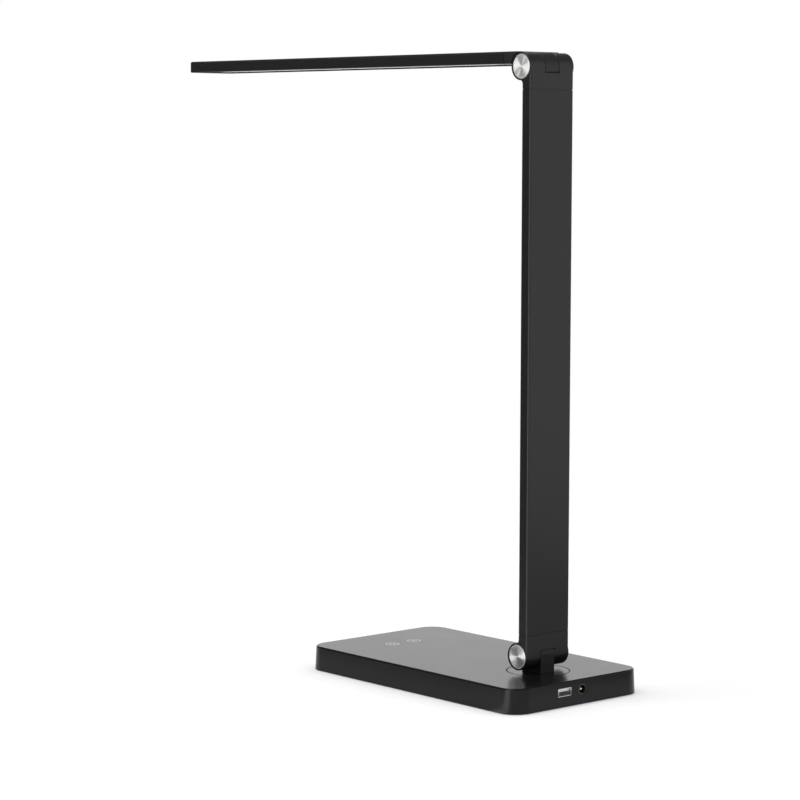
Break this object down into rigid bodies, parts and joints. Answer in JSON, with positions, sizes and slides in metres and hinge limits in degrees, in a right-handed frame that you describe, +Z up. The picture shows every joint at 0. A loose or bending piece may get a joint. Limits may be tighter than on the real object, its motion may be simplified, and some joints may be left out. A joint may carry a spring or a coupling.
{
  "type": "led desk lamp",
  "caption": "Folding LED desk lamp with a weighted flat base, turntable, hinged flat post and hinged flat head with an opal underside; touch rings in front, USB socket behind.",
  "frame": {"origin": "on the table under the middle of the base, at the anti-slip pad's lower face", "axes": "+Z up; -Y towards the user, where the head hangs over the base's front; +Y the end with the sockets; both hinge axes run along X"},
  "size_m": [0.13, 0.4371, 0.4657],
  "materials": {
    "black_shell": "fine satin black moulding",
    "black_plate": "plain black moulding",
    "black_metal": "satin black coating on aluminium",
    "black_ends": "satin black moulding",
    "spun_metal": "spun, with fine rings and a bright bevel",
    "steel": "plated",
    "friction_disc": "natural moulding",
    "circuit_board": "green solder mask",
    "rubber": "matt",
    "socket_metal": "plated sheet",
    "socket_plastic": "moulded black",
    "contact_brass": "plated",
    "cable_jacket": "flat jacket",
    "board_aluminium": "white coated board",
    "diode": "phosphor",
    "white_plastic": "white moulding",
    "opal": "opal, faintly frosted"
  },
  "bodies": {
    "base": {"base_housing": "black_shell", "base_bottom_plate": "black_plate", "ballast_plate": "steel", "control_board": "circuit_board", "touch_pads": "rubber", "power_board": "circuit_board", "usb_socket_shell": "socket_metal", "usb_socket_tongue": "socket_plastic", "dc_inlet_body": "socket_plastic", "dc_inlet_pin": "contact_brass", "base_screws": "steel", "anti_slip_pad": "rubber"},
    "turntable": {"turntable_disc": "black_shell", "lower_knuckle": "black_shell", "knuckle_screws": "steel", "retaining_ring": "steel", "ring_screws": "steel", "wave_washer": "steel"},
    "arm": {"arm_lower_end": "black_ends", "post": "black_metal", "arm_upper_end": "black_ends", "arm_cable": "cable_jacket", "lower_cap_right": "spun_metal", "lower_cap_left": "spun_metal", "upper_cap_right": "spun_metal", "upper_cap_left": "spun_metal", "lower_hinge_pin": "steel", "upper_hinge_pin": "steel", "lower_hinge_nut": "steel", "upper_hinge_nut": "steel", "lower_spring_washer": "steel", "upper_spring_washer": "steel", "lower_friction_washers": "friction_disc", "upper_friction_washers": "friction_disc"},
    "head": {"head_end": "black_ends", "head_housing": "black_metal", "led_board": "board_aluminium", "led_chips": "diode", "reflector": "white_plastic", "diffuser": "opal", "board_screws": "steel"}
  },
  "joints": [
    {"name": "base_swivel", "type": "hinge", "parent": "base", "child": "turntable", "pos_m": [0, 0.0715, 0.017], "axis": [0, 0, 1], "range_deg": [-90, 90]},
    {"name": "arm_tilt", "type": "hinge", "parent": "turntable", "child": "arm", "pos_m": [0, 0.0715, 0.0312], "axis": [1, 0, 0], "range_deg": [-30, 90]},
    {"name": "head_tilt", "type": "hinge", "parent": "arm", "child": "head", "pos_m": [0, 0.0715, 0.455], "axis": [1, 0, 0], "range_deg": [-90, 90]}
  ]
}
